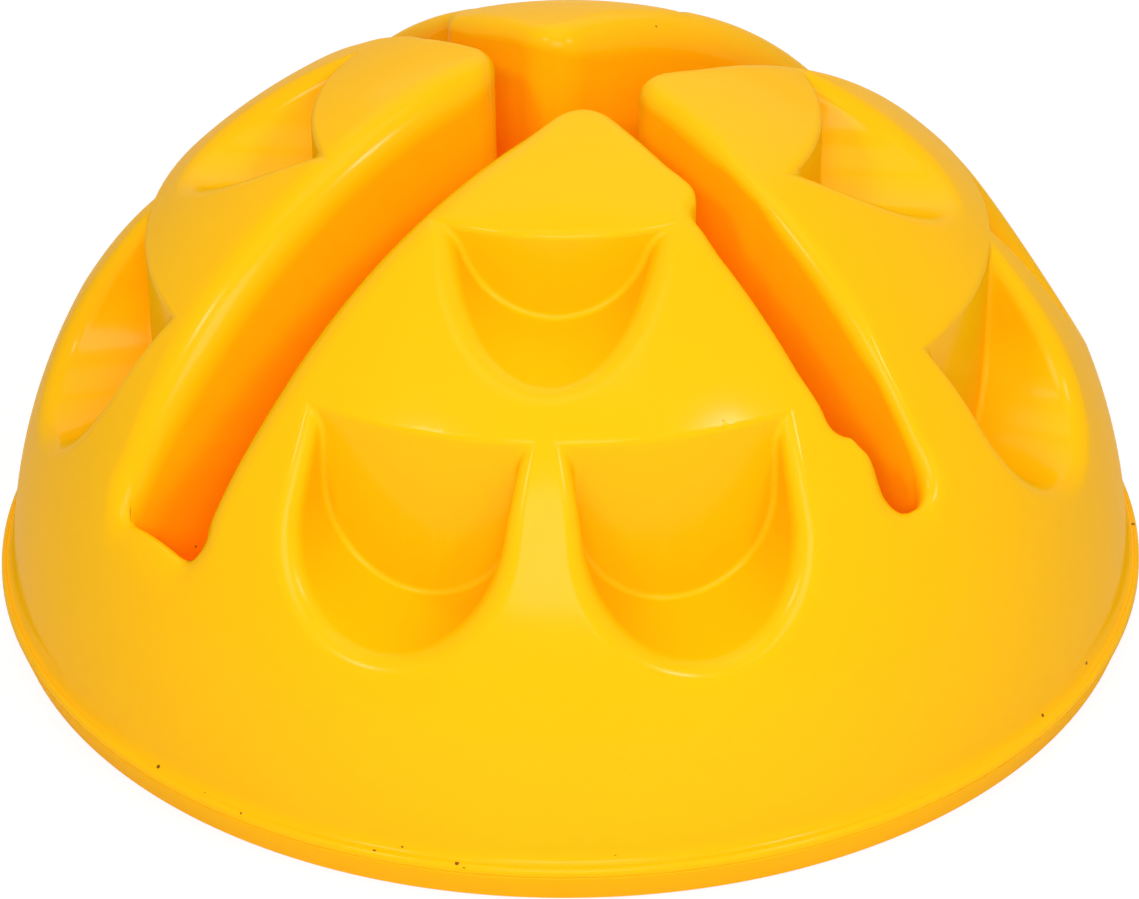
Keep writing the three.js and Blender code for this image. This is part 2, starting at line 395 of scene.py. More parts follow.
def clouds(tree: NodeTree, grain: float, stretch: Triple = (1, 1, 1)) -> NodeSocket:
    """Soft random patches on a piece, fixed to its own frame.

    Args:
        tree: The node tree that gets them.
        grain: Size of one patch in millimetres.
        stretch: How many times longer the patches are along X, Y and Z.

    Returns:
        A value from 0 to 1, mostly near one half.
    """
    place = add_node(tree, "TexCoord").outputs["Object"]
    pulled = add_node(tree, "Mapping", {"Vector": place, "Scale": tuple(1 / s for s in stretch)})
    values = {"Vector": pulled.outputs[0], "Scale": MM_PER_M / grain, "Detail": 3.0}
    return add_node(tree, "TexNoise", values).outputs["Fac"]


def patches(
    tree: NodeTree, grain: float, low: float, high: float, stretch: Triple = (1, 1, 1)
) -> NodeSocket:
    """Soft random patches whose middle half is spread over a range from low to high."""
    share = clouds(tree, grain, stretch)
    spread = {"Value": share, "From Min": 0.25, "From Max": 0.75, "To Min": low, "To Max": high}
    return add_node(tree, "MapRange", spread).outputs[0]


def specks(tree: NodeTree, spacing: float, radius: float) -> NodeSocket:
    """Scattered round specks: 1 inside a speck and 0 elsewhere.

    Args:
        tree: The node tree that gets them.
        spacing: Mean distance between their middles in millimetres.
        radius: Largest radius of a speck in millimetres.

    Returns:
        The mask's socket.
    """
    place = add_node(tree, "TexCoord").outputs["Object"]
    cells = add_node(tree, "TexVoronoi", {"Vector": place, "Scale": MM_PER_M / spacing})
    values = {0: cells.outputs["Distance"], 1: radius / spacing}
    return add_node(tree, "Math", values, operation="LESS_THAN").outputs[0]


@dataclass(frozen=True)
class MouldedPolyethylene:
    """Glossy yellow polyethylene, moulded in a polished tool.

    It gives the eye a saturated yolk yellow that glows orange where faces light each other, soft
    highlights on every rounded edge, a faint ripple where the thick wall has shrunk, a gloss that
    hands have dulled in patches, and specks of dirt in the groove above the lip.
    """

    name: str = "moulded_polyethylene"
    body: str = "#FFC007"
    shade: str = "#FFBC05"
    dirt: str = "#8A4E0A"
    gloss: float = 0.17
    gloss_roughness: float = 0.17
    groove_level: float = 19.4
    groove_half: float = 2.2

    def dirt_share(self, tree: NodeTree) -> NodeSocket:
        """Where dirt sticks: specks in the groove above the lip, and a few small ones all over."""
        place = add_node(tree, "TexCoord").outputs["Object"]
        height = add_node(tree, "SeparateXYZ", {0: place}).outputs["Z"]
        band = {0: height, 1: self.groove_level * MM, 2: self.groove_half * MM}
        groove = add_node(tree, "Math", band, operation="COMPARE").outputs[0]
        thick = specks(tree, spacing=10, radius=0.9)
        caught = add_node(tree, "Math", {0: groove, 1: thick}, operation="MULTIPLY").outputs[0]
        thin = specks(tree, spacing=34, radius=0.5)
        return add_node(tree, "Math", {0: caught, 1: thin}, operation="MAXIMUM").outputs[0]

    def material(self) -> Material:
        """Build the node material."""
        material, tree = new_material(self.name)
        tints = {MIX_A: colour(self.body), MIX_B: colour(self.shade)}
        plain = add_node(tree, "Mix", {"Factor": clouds(tree, grain=110)} | tints, data_type="RGBA")
        layers = {MIX_A: plain.outputs[MIX_RESULT], MIX_B: colour(self.dirt)}
        stained = add_node(tree, "Mix", {"Factor": self.dirt_share(tree)} | layers, data_type="RGBA")
        handled = patches(tree, 45, self.gloss_roughness * 0.85, self.gloss_roughness * 1.2)
        drawn = patches(tree, 5, -0.02, 0.02, stretch=(1, 1, 9))
        rough = add_node(tree, "Math", {0: handled, 1: drawn}, operation="ADD")
        waves = clouds(tree, grain=30)
        ripple = add_node(tree, "Bump", {"Height": waves, "Strength": 0.12, "Distance": 0.0006})
        looks = {
            "Base Color": stained.outputs[MIX_RESULT], "Roughness": 0.6, "Specular IOR Level": 0.0,
            "Coat Weight": self.gloss, "Coat Roughness": rough.outputs[0],
            "Coat Normal": ripple.outputs[0],
        }
        shader = add_node(tree, "BsdfPrincipled", looks)
        add_node(tree, "OutputMaterial", {"Surface": shader.outputs[0]})
        return material


@dataclass(frozen=True)
class ZincPlatedSteel:
    """Bright zinc on rolled steel: pale grey, a little blue, with soft streaks and duller patches."""

    name: str = "zinc_plated_steel"
    tint: str = "#C9CDD2"
    dull_tint: str = "#A9AEB8"
    smoothest: float = 0.24
    roughest: float = 0.42

    def material(self) -> Material:
        """Build the node material."""
        material, tree = new_material(self.name)
        tints = {MIX_A: colour(self.tint), MIX_B: colour(self.dull_tint)}
        tint = add_node(tree, "Mix", {"Factor": patches(tree, 2.5, 0, 1)} | tints, data_type="RGBA")
        streaks = patches(tree, 0.4, self.smoothest, self.roughest, stretch=(6, 1, 1))
        looks = {"Base Color": tint.outputs[MIX_RESULT], "Metallic": 1.0, "Roughness": streaks}
        shader = add_node(tree, "BsdfPrincipled", looks)
        add_node(tree, "OutputMaterial", {"Surface": shader.outputs[0]})
        return material


@dataclass(frozen=True)
class GripRubber:
    """Matt dark grey rubber, pressed: a dusty bloom in patches, and grit that has stuck to it."""

    name: str = "grip_rubber"
    tint: str = "#2B2B2D"
    bloom: str = "#45433F"
    grit: str = "#7A7266"
    smoothest: float = 0.72
    roughest: float = 0.95

    def material(self) -> Material:
        """Build the node material."""
        material, tree = new_material(self.name)
        tints = {MIX_A: colour(self.tint), MIX_B: colour(self.bloom)}
        dusty = add_node(tree, "Mix", {"Factor": patches(tree, 6, 0, 1)} | tints, data_type="RGBA")
        layers = {MIX_A: dusty.outputs[MIX_RESULT], MIX_B: colour(self.grit)}
        grit = specks(tree, spacing=1.6, radius=0.16)
        gritty = add_node(tree, "Mix", {"Factor": grit} | layers, data_type="RGBA")
        looks = {
            "Base Color": gritty.outputs[MIX_RESULT],
            "Roughness": patches(tree, 3, self.smoothest, self.roughest),
        }
        shader = add_node(tree, "BsdfPrincipled", looks)
        add_node(tree, "OutputMaterial", {"Surface": shader.outputs[0]})
        return material


@dataclass(frozen=True)
class Scoop:
    """A hold cut into the ball: a gutter that runs out from the axis, stopped by a back wall."""

    back_radius: float
    floor: float
    half_width: float
    turns: tuple[float, ...]
    rim_radius: float
    edge_radius: float
    shoulder_radius: float
    corner_radius: float
    inner_end: float
    corner_end: float = 9
    corner_fade: float = 6

    def carve(self, shape: Field, points: np.ndarray, turn: float, top: float) -> Field:
        """Cut the scoop, whose back wall runs straight up through the rounded edges of its sides.

        Args:
            shape: What is left of the ball so far.
            points: Where it is measured.
            turn: Direction of the scoop about +Z, in radians.
            top: Height at which the back wall meets the ball.

        Returns:
            The shape with the scoop in it.
        """
        trough = gutter(points, turn, self.floor, self.half_width)
        rise = eased((points[:, 2] - self.floor) / (top - self.floor))
        edge = self.edge_radius + (self.shoulder_radius - self.edge_radius) * rise
        stump = shape.rounded_by(drum(points, self.back_radius), self.rim_radius)
        share = eased(self.corner_end / self.corner_fade - trough.value / self.corner_fade)
        return shape.cut_by(trough, edge).joined_to(stump, self.corner_radius * share)

    def cutter(self, grow: float, reach: float, top: float, turns: list[float]) -> Object:
        """The space that copies of the scoop take, with sharp edges.

        Args:
            grow: How far the space grows all round, for the wall about it.
            reach: Radius at which the gutters end, outside the ball.
            top: Height at which they end, above the ball.
            turns: Their directions about +Z, in radians.

        Returns:
            One piece that holds all the copies.
        """
        half = self.half_width + grow
        middle = self.floor + self.half_width
        bm = bmesh.new()
        for turn in turns:
            ring = bmesh.ops.create_circle(bm, cap_ends=True, segments=64, radius=half)["verts"]
            for vert in ring:
                if vert.co.y > SAME_PLACE:
                    vert.co.y = top - middle
            for axis in "XZ":
                turn_verts(bm, ring, RIGHT_ANGLE, axis)
            bmesh.ops.translate(bm, verts=ring, vec=(self.inner_end, 0, middle))
            faces = list({face for vert in ring for face in vert.link_faces})
            far = verts_in(bmesh.ops.extrude_face_region(bm, geom=faces, use_keep_orig=True)["geom"])
            bmesh.ops.translate(bm, verts=far, vec=(reach - self.inner_end, 0, 0))
            turn_verts(bm, ring + far, turn, "Z")
        space = finished(bm, "scoop_space")
        drill(space, (0, 0), self.back_radius - grow, 0, 2 * top, steps=180)
        return space


@dataclass
class DomeShell:
    """The hollow half ball with its flange, slots, scoops and screw bosses."""

    radius: float = 246.5
    height: float = 243
    bottom: float = 1.5
    wall: float = 4
    joint_level: float = 14.8
    lip_radius: float = 251.2
    lip_rounding: float = 2.2
    lip_edge_rounding: float = 0.5
    ledge_radius: float = 249
    ledge_level: float = 18.2
    fillet_level: float = 25
    boss_radius: float = 6
    boss_height: float = 26
    hole_radius: float = 2.3
    hole_top: float = 27.6
    screw_places: tuple[Pair, ...] = ()
    wide_half: float = 21.5
    wide_end: float = 214
    wide_end_radius: float = 4.5
    narrow_half: float = 10
    narrow_end: float = 205
    narrow_end_radius: float = 8
    relief_depth: float = 10.5
    relief_start: float = 96.5
    relief_end: float = 185
    relief_radius: float = 7
    relief_bend: float = 9.5
    crossing_radius: float = 20
    slot_floor: float = 30
    slot_floor_radius: float = 8
    narrow_edge_radius: float = 8.7
    relief_edge_radius: float = 6
    wide_edge_radius: float = 16
    end_edge_radius: float = 11.5
    edge_backing: float = 6
    end_backing: float = 13
    sector_middle: float = math.radians(46.3)
    lower_turn: float = math.radians(16.7)
    wide_blend: float = 40
    end_blend_start: float = 45
    end_blend: float = 50
    bend_reach: float = 1.6
    bend_blend: float = 14
    slot_headroom: float = 40
    scoop_headroom: float = 30
    fillet_steps: int = 10
    ledge_drop: float = 0.35
    ledge_angle: float = 82
    lip_depth: float = 6
    voxel: float = 1.6
    triangles: int = 130000
    rest_margin: float = 2
    least_steepness: float = 0.2
    skin_tolerance: float = 0.3
    upper: Scoop = field(init=False)
    lower: Scoop = field(init=False)

    def __post_init__(self) -> None:
        """Set out the two kinds of scoop."""
        self.upper = Scoop(
            back_radius=106.5, floor=183, half_width=40, turns=(0.0,), rim_radius=3.5,
            edge_radius=12, shoulder_radius=9, corner_radius=2.4, inner_end=72,
        )
        self.lower = Scoop(
            back_radius=178.5, floor=94, half_width=41.5, turns=(-self.lower_turn, self.lower_turn),
            rim_radius=3.5, edge_radius=10.5, shoulder_radius=6, corner_radius=2.4, inner_end=152,
        )

    def height_at(self, radius: float) -> float:
        """Height above the floor of the ball at a distance from its axis."""
        share = radius / self.radius
        return self.bottom + self.height * math.sqrt(1 - share * share)

    def ball(self, points: np.ndarray) -> Field:
        """Distance to the half ball before anything is cut out of it."""
        axes = np.array([self.radius, self.radius, self.height])
        scaled = (points - (0, 0, self.bottom)) / axes
        size = np.maximum(np.linalg.norm(scaled, axis=1), AXIS_GUARD)
        slope = scaled / axes / size[:, None]
        steep = np.linalg.norm(slope, axis=1)
        return Field((size - 1) / steep, slope / steep[:, None])

    def slots(self, points: np.ndarray) -> Field:
        """The space that the crossing slots take."""
        flip = np.where(points[:, 1] < 0, -1.0, 1.0)
        half = points * np.column_stack([flip, flip, np.ones_like(flip)])
        wide = column(half, (self.wide_end, self.wide_half), self.wide_end_radius)
        narrow = column(half, (self.narrow_half, self.narrow_end), self.narrow_end_radius)
        inner, start = self.narrow_half + self.relief_depth, (-self.narrow_half, self.relief_start)
        relief = column(half, (inner, self.relief_end), self.relief_radius, start)
        plan = narrow.joined_to(relief, self.relief_bend).joined_to(wide, self.crossing_radius)
        floor = Field(self.slot_floor - half[:, 2], np.tile((0.0, 0.0, -1.0), (len(half), 1)))
        space = plan.rounded_by(floor, self.slot_floor_radius)
        space.slope[:, :2] *= flip[:, None]
        return space

    def slot_rim(self, points: np.ndarray) -> np.ndarray:
        """Radius of the slots' upper edges near each point: largest along the wide slot."""
        along, across = np.abs(points[:, 0]), np.abs(points[:, 1])
        wide = eased((along - across) / self.wide_blend + 0.5)
        end = eased((along - self.wide_end + self.end_blend_start) / self.end_blend) * wide
        step = np.minimum(np.abs(across - self.relief_start), np.abs(across - self.relief_end))
        bend = eased(self.bend_reach - step / self.bend_blend) * (1 - wide)
        radius = self.narrow_edge_radius + (self.wide_edge_radius - self.narrow_edge_radius) * wide
        radius += (self.end_edge_radius - self.wide_edge_radius) * end
        return radius + (self.relief_edge_radius - self.narrow_edge_radius) * bend

    def surface(self, points: np.ndarray) -> Field:
        """The moulded outer surface, with every edge rounded as on the real dome."""
        shape = self.ball(points).cut_by(self.slots(points), self.slot_rim(points))
        mirror = np.column_stack([np.where(points[:, :2] < 0, -1.0, 1.0), np.ones(len(points))])
        folded = points * mirror
        folded_shape = Field(shape.value, shape.slope * mirror)
        for scoop in (self.upper, self.lower):
            top = self.height_at(scoop.back_radius)
            for turn in scoop.turns:
                folded_shape = scoop.carve(folded_shape, folded, self.sector_middle + turn, top)
        return Field(folded_shape.value, folded_shape.slope * mirror)

    def slot_cutter(self, grow: float) -> Object:
        """The crossing slots as one upright piece with sharp edges.

        Args:
            grow: How far the space grows all round, and further beside the large edge fillets.

        Returns:
            The slots' space.
        """
        wide = self.wide_half + grow + (self.edge_backing if grow else 0)
        wide_end = self.wide_end + grow + (self.end_backing if grow else 0)
        narrow, narrow_end = self.narrow_half + grow, self.narrow_end + grow
        relief = narrow + self.relief_depth
        near, far = self.relief_start - grow, self.relief_end + grow
        half = [
            (wide_end, -wide), (wide_end, wide), (narrow, wide), (narrow, near),
            (relief, near), (relief, far), (narrow, far), (narrow, narrow_end),
            (-narrow, narrow_end), (-narrow, wide),
        ]
        outline = half + [(-x, -y) for x, y in half]
        low, top = self.slot_floor - grow, self.height + self.slot_headroom
        bm = bmesh.new()
        face = bm.faces.new([bm.verts.new((x, y, low)) for x, y in outline])
        grown = bmesh.ops.extrude_face_region(bm, geom=[face], use_keep_orig=True)["geom"]
        bmesh.ops.translate(bm, verts=verts_in(grown), vec=(0, 0, top - low))
        crossing = upright_edges(bm, narrow, wide)
        round_edges(bm, crossing, self.crossing_radius - 2 * grow, segments=6)
        if grow == 0:
            self.round_slot_corners(bm)
        return finished(bm, "slot_space")

    def round_slot_corners(self, bm: BMesh) -> None:
        """Round the upright edges at the ends of the slots and of their widened stretches."""
        inner = self.narrow_half + self.relief_depth
        corners = [
            (self.wide_end, self.wide_half, self.wide_end_radius),
            (self.narrow_half, self.narrow_end, self.narrow_end_radius),
            (inner, self.relief_start, self.relief_radius),
            (inner, self.relief_end, self.relief_radius),
            (self.narrow_half, self.relief_start, self.relief_bend),
            (self.narrow_half, self.relief_end, self.relief_bend),
        ]
        for x, y, radius in corners:
            round_edges(bm, upright_edges(bm, x, y), radius, segments=4)

    def carve(self, piece: Object, grow: float) -> None:
        """Cut the slots and the scoops, grown all round, out of a piece."""
        reach, top = self.radius + self.scoop_headroom, self.height + self.scoop_headroom
        combine(piece, self.slot_cutter(grow), Join.CUT)
        for scoop in (self.upper, self.lower):
            first = [self.sector_middle + turn for turn in scoop.turns]
            turns = [angle for a in first for angle in (a, math.pi - a, math.pi + a, -a)]
            combine(piece, scoop.cutter(grow, reach, top, turns), Join.CUT)

    def blank(self, inset: float, low: float, steps: int) -> Object:
        """The plain half ball, drawn in by an inset, from a level up."""
        start = math.asin((low - self.bottom) / (self.height - inset))
        rings = steps // 6
        profile = [(0, low)]
        for i in range(rings):
            angle = start + (RIGHT_ANGLE - start) * i / rings
            across = (self.radius - inset) * math.cos(angle)
            profile.append((across, self.bottom + (self.height - inset) * math.sin(angle)))
        profile.append((0, self.bottom + self.height - inset))
        return spun(profile, steps, "half_ball")

    def rest_on_surface(self, mesh: Mesh, rounds: int, limit: float) -> None:
        """Move a mesh's points onto the rounded surface.

        Args:
            mesh: The mesh, in millimetres.
            rounds: How many steps each point may take.
            limit: Longest step.
        """
        points = rows(mesh.vertices, "co")
        free = points[:, 2] > self.joint_level + self.rest_margin
        for _ in range(rounds):
            near = self.surface(points[free])
            steep = np.einsum("ij,ij->i", near.slope, near.slope)
            steep = np.maximum(steep, self.least_steepness)
            points[free] -= np.clip(near.value / steep, -limit, limit)[:, None] * near.slope
        mesh.vertices.foreach_set("co", points.ravel())
        mesh.update()

    def mend_folds(self, mesh: Mesh, tries: int = 4, passes: int = 3) -> None:
        """Even out the few faces that lie across the surface, and rest them on it again."""
        for _ in range(tries):
            bm = bmesh.new()
            bm.from_mesh(mesh)
            bm.normal_update()
            centres = np.array([face.calc_center_median() for face in bm.faces])
            slope = self.surface(centres).slope
            facing = np.einsum("ij,ij->i", np.array([face.normal for face in bm.faces]), slope)
            folded = facing < 0.5 * np.linalg.norm(slope, axis=1)
            folded &= centres[:, 2] > self.joint_level + self.rest_margin
            bm.faces.ensure_lookup_table()
            verts = {vert for i in np.flatnonzero(folded) for vert in bm.faces[i].verts}
            verts |= {edge.other_vert(vert) for vert in verts for edge in vert.link_edges}
            count = int(folded.sum())
            if count:
                for _ in range(passes):
                    bmesh.ops.smooth_vert(
                        bm, verts=list(verts), factor=0.5,
                        use_axis_x=True, use_axis_y=True, use_axis_z=True,
                    )
                bm.to_mesh(mesh)
            bm.free()
            LOG.info("folded faces: %d", count)
            if not count:
                break
            self.rest_on_surface(mesh, rounds=3, limit=1.0)

    def skin(self) -> Object:
        """The outer surface as a fine mesh with rounded edges, still solid inside."""
        piece = self.blank(0, self.joint_level, steps=240)
        self.carve(piece, 0)
        remesh = piece.modifiers.new("even_mesh", "REMESH")
        remesh.mode = "VOXEL"
        remesh.voxel_size = self.voxel
        settle(piece)
        for softening in (0, 6, 4):
            relax = piece.modifiers.new("relax", "SMOOTH")
            relax.factor = 0.5
            relax.iterations = softening
            settle(piece)
            self.rest_on_surface(piece.data, rounds=4, limit=6.0)
        thin = piece.modifiers.new("fewer_faces", "DECIMATE")
        thin.ratio = min(1.0, self.triangles / (2 * len(piece.data.polygons)))
        settle(piece)
        self.rest_on_surface(piece.data, rounds=3, limit=1.5)
        self.mend_folds(piece.data)
        return piece

    def lip_profile(self) -> list[Pair]:
        """Points from the ball down over the hollow fillet and the lip to its lower edge."""
        rise = (self.fillet_level - self.bottom) / self.height
        ball = self.radius * math.sqrt(1 - rise * rise)
        steep = math.atan(self.radius / self.height * rise / math.sqrt(1 - rise * rise))
        points = []
        for i in range(self.fillet_steps + 1):
            turn = RIGHT_ANGLE * i / self.fillet_steps
            out = (self.ledge_radius - ball) * (1 - math.cos(turn))
            down = (self.fillet_level - self.ledge_level) * math.sin(turn)
            left = self.fillet_level - self.ledge_level - down
            lean = steep * left * math.cos(turn) * math.sin(turn)
            points.append((ball + out + lean / 2, self.fillet_level - down))
        edge = self.lip_radius - self.lip_rounding
        low = self.ledge_level - self.lip_rounding + self.ledge_drop
        points += arc(edge, low, self.lip_rounding, self.ledge_angle, 0, 8)
        inset = self.lip_edge_rounding
        points += arc(self.lip_radius - inset, self.joint_level + inset, inset, 0, -90, 3)
        return points

    def add_lip(self, piece: Object) -> None:
        """Cut the ball off above the lip and run its edge down over the lip's profile."""
        bm = bmesh.new()
        bm.from_mesh(piece.data)
        geometry = bm.verts[:] + bm.edges[:] + bm.faces[:]
        bmesh.ops.bisect_plane(
            bm, geom=geometry, dist=MERGE_DISTANCE, plane_co=(0, 0, self.fillet_level),
            plane_no=UP, clear_inner=True,
        )
        rim = [edge for edge in bm.edges if edge.is_boundary]
        profile = self.lip_profile()
        ring = list({vert for edge in rim for vert in edge.verts})
        for index, (radius, height) in enumerate(profile):
            if index:
                grown = bmesh.ops.extrude_edge_only(bm, edges=rim)["geom"]
                rim = [item for item in grown if isinstance(item, BMEdge) and item.is_boundary]
                ring = verts_in(grown)
            for vert in ring:
                turn = math.atan2(vert.co.y, vert.co.x)
                vert.co = (radius * math.cos(turn), radius * math.sin(turn), height)
        bmesh.ops.holes_fill(bm, edges=rim)
        bmesh.ops.recalc_face_normals(bm, faces=bm.faces)
        bm.to_mesh(piece.data)
        bm.free()

    def hollow_out(self, piece: Object) -> None:
        """Cut the hollow under the skin, round the screw bosses, and the screw holes."""
        low = self.joint_level - OVERLAP
        hollow = self.blank(self.wall, low, steps=180)
        self.carve(hollow, self.wall)
        boss_top = self.joint_level + self.boss_height
        for place in self.screw_places:
            drill(hollow, place, self.boss_radius, low - OVERLAP, boss_top, steps=32)
        combine(piece, hollow, Join.CUT)
        for place in self.screw_places:
            drill(piece, place, self.hole_radius, low, self.hole_top, steps=24)

    def true_normals(self, mesh: Mesh) -> np.ndarray:
        """Outward directions at all face corners, taken from the rounded surface on the skin."""
        shade_by_angle(mesh)
        normals = rows(mesh.corner_normals, "vector")
        points = rows(mesh.vertices, "co")
        corners = np.empty(len(mesh.loops), dtype=int)
        mesh.loops.foreach_get("vertex_index", corners)
        near = self.surface(points)
        true = near.slope / np.maximum(np.linalg.norm(near.slope, axis=1), TINY)[:, None]
        above_lip = points[:, 2] > self.fillet_level - SAME_PLACE
        on_skin = (np.abs(near.value) < self.skin_tolerance) & above_lip
        agrees = np.einsum("ij,ij->i", normals, true[corners]) > 0.5
        chosen = on_skin[corners] & agrees
        normals[chosen] = true[corners][chosen]
        reach = np.hypot(points[:, 0], points[:, 1])
        out = (points[:, :2] / np.maximum(reach, TINY)[:, None])[corners]
        on_lip = ((reach > self.ledge_radius - self.lip_depth) & ~above_lip)[corners]
        flat = np.hypot(normals[:, 0], normals[:, 1])[:, None]
        radial = np.column_stack([out * flat, normals[:, 2]])
        on_lip &= np.einsum("ij,ij->i", normals, radial) > 0.9
        normals[on_lip] = radial[on_lip]
        return normals

    def build(self) -> Object:
        """Make the shell."""
        piece = self.skin()
        piece.name = "dome_shell_moulded"
        self.add_lip(piece)
        self.hollow_out(piece)
        normals = self.true_normals(piece.data)
        piece.data.transform(Matrix.Scale(MM, 4))
        piece.data.normals_split_custom_set(normals.tolist())
        return piece


@dataclass(frozen=True)
class BasePlate:
    """The shallow tray that closes the dome from below, with ribs under the slots."""

    bottom: float = 1.5
    joint_level: float = 14.8
    foot_radius: float = 247.5
    radius: float = 251.5
    foot_rounding: float = 1
    edge_rounding: float = 0.5
    edge_inset: float = 0.15
    flank_angle: float = -17
    floor_level: float = 6.5
    rim_width: float = 24
    rim_chamfer: float = 1
    tray_rounding: float = 3
    rib_rounding: float = 0.6
    rib_thickness: float = 3
    rib_span: float = 380
    rib_spacing: float = 24
    rib_top: float = 25.7
    pocket_radius: float = 14.3
    pocket_depth: float = 2.5
    hole_radius: float = 2.3
    bore_radius: float = 4.3
    seat_level: float = 5

    def profile(self) -> list[Pair]:
        """Points from the axis round the plate's section to the axis again."""
        foot, edge = self.foot_rounding, self.edge_rounding
        rim = self.radius - self.rim_width
        points = [(0, self.bottom), (self.foot_radius / 2, self.bottom)]
        flank, inner = self.flank_angle, self.tray_rounding
        points += arc(self.foot_radius - foot, self.bottom + foot, foot, -90, flank, 5)
        side = self.radius - edge - self.edge_inset
        points += arc(side, self.joint_level - edge, edge, flank, 90, 5)
        points.append((rim + self.rim_chamfer, self.joint_level))
        points.append((rim, self.joint_level - self.rim_chamfer))
        points += arc(rim - inner, self.floor_level + inner, inner, 0, -90, 5)
        points += [(self.foot_radius / 2, self.floor_level), (0, self.floor_level)]
        return points

    def rib(self, across: float, along_x: bool) -> Object:
        """One upright rib at a distance from the axis."""
        low = (self.bottom + self.floor_level) / 2
        sizes = Vector((self.rib_span, self.rib_thickness, self.rib_top - low))
        place = Vector((0, across, (self.rib_top + low) / 2))
        bm = bmesh.new()
        pose = Matrix.Translation(place) @ Matrix.Diagonal(sizes).to_4x4()
        bmesh.ops.create_cube(bm, size=1, matrix=pose)
        if not along_x:
            turn_verts(bm, bm.verts[:], RIGHT_ANGLE, "Z")
        top = self.rib_top - SAME_PLACE
        upper = [edge for edge in bm.edges if all(vert.co.z > top for vert in edge.verts)]
        round_edges(bm, upper, self.rib_rounding, segments=2)
        return finished(bm, "rib")

    def build(self, pads: list[Pair], screws: list[Pair]) -> Object:
        """Make the plate.

        Args:
            pads: Where the pads sit.
            screws: Where the screws pass.

        Returns:
            The plate.
        """
        piece = spun(self.profile(), 240, "base_plate_moulded")
        pocket_top, hole_top = self.bottom + self.pocket_depth, self.joint_level + OVERLAP
        for across in (-self.rib_spacing / 2, self.rib_spacing / 2):
            combine(piece, self.rib(across, True), Join.ADD)
            combine(piece, self.rib(across, False), Join.ADD)
        for place in pads:
            drill(piece, place, self.pocket_radius, 0, pocket_top, steps=72)
        for place in screws:
            drill(piece, place, self.hole_radius, 0, hole_top, steps=24)
            drill(piece, place, self.bore_radius, 0, self.seat_level, steps=48)
        return smoothed(piece)


@dataclass(frozen=True)
class BaseScrew:
    """A pan head screw for plastic, driven in from below."""

    seat_level: float = 5
    head_radius: float = 4
    head_height: float = 2.6
    head_rounding: float = 1.1
    crest_radius: float = 2
    core_radius: float = 1.5
    length: float = 22
    tip_length: float = 3
    pitch: float = 1.8
    recess_length: float = 4.6
    recess_width: float = 1.2
    recess_depth: float = 1.4
    recess_flare: float = 1.05
    socket_length: float = 0.55
    socket_width: float = 0.7
    chamfer: float = 0.2
    neck: float = 0.6
    thread_start: float = 1.4
    thread_margin: float = 2
    ridge_share: float = 0.22
    ridge_root: float = 0.3
    runout: float = 0.9
    steps_per_turn: int = 20

    def blank(self) -> Object:
        """The head and the plain core."""
        head, round_off = self.head_radius, self.head_rounding
        points = [(0, -self.head_height), (head / 2, -self.head_height)]
        points += arc(head - round_off, round_off - self.head_height, round_off, -90, 0, 6)
        points += [(head, -self.chamfer), (head - self.chamfer, 0)]
        points += [(self.crest_radius + self.chamfer, 0), (self.core_radius, self.neck)]
        points += [(self.core_radius, self.length - self.tip_length), (0, self.length)]
        return spun(points, 48, "screw")

    def thread(self) -> Object:
        """The thread's ridge, wound up the core."""
        turns = (self.length - self.tip_length - self.thread_margin) / self.pitch
        steps = int(turns * self.steps_per_turn)
        half = self.pitch * self.ridge_share
        inside, crest = self.core_radius - self.ridge_root, self.crest_radius
        bm = bmesh.new()
        section = [(inside, -half), (crest, -half / 4), (crest, half / 4), (inside, half)]
        verts = [bm.verts.new((x, 0, z + self.thread_start)) for x, z in section]
        face = bm.faces.new(verts)
        end = bmesh.ops.spin(
            bm, geom=[face], axis=UP, dvec=(0, 0, turns * self.pitch / steps),
            angle=turns * TURN, steps=steps,
        )["geom_last"]
        for vert in verts_in(end):
            vert.co.xy *= self.runout
        return finished(bm, "thread")

    def recess_arm(self, turn: float) -> Object:
        """One arm of the cross-shaped socket for the driver, narrower inside, turned about +Z."""
        bm = bmesh.new()
        made = bmesh.ops.create_cube(bm, size=1)["verts"]
        for vert in made:
            inner = vert.co.z > 0
            vert.co.x *= self.recess_length * (self.socket_length if inner else self.recess_flare)
            vert.co.y *= self.recess_width * (self.socket_width if inner else self.recess_flare)
            vert.co.z = (self.recess_depth if inner else -self.chamfer) - self.head_height
        turn_verts(bm, made, turn, "Z")
        return finished(bm, "recess")

    def build(self) -> Object:
        """Make one screw at the origin, with the underside of its head at height 0."""
        piece = self.blank()
        combine(piece, self.thread(), Join.ADD)
        for turn in (0, RIGHT_ANGLE):
            combine(piece, self.recess_arm(turn), Join.CUT)
        return smoothed(piece)


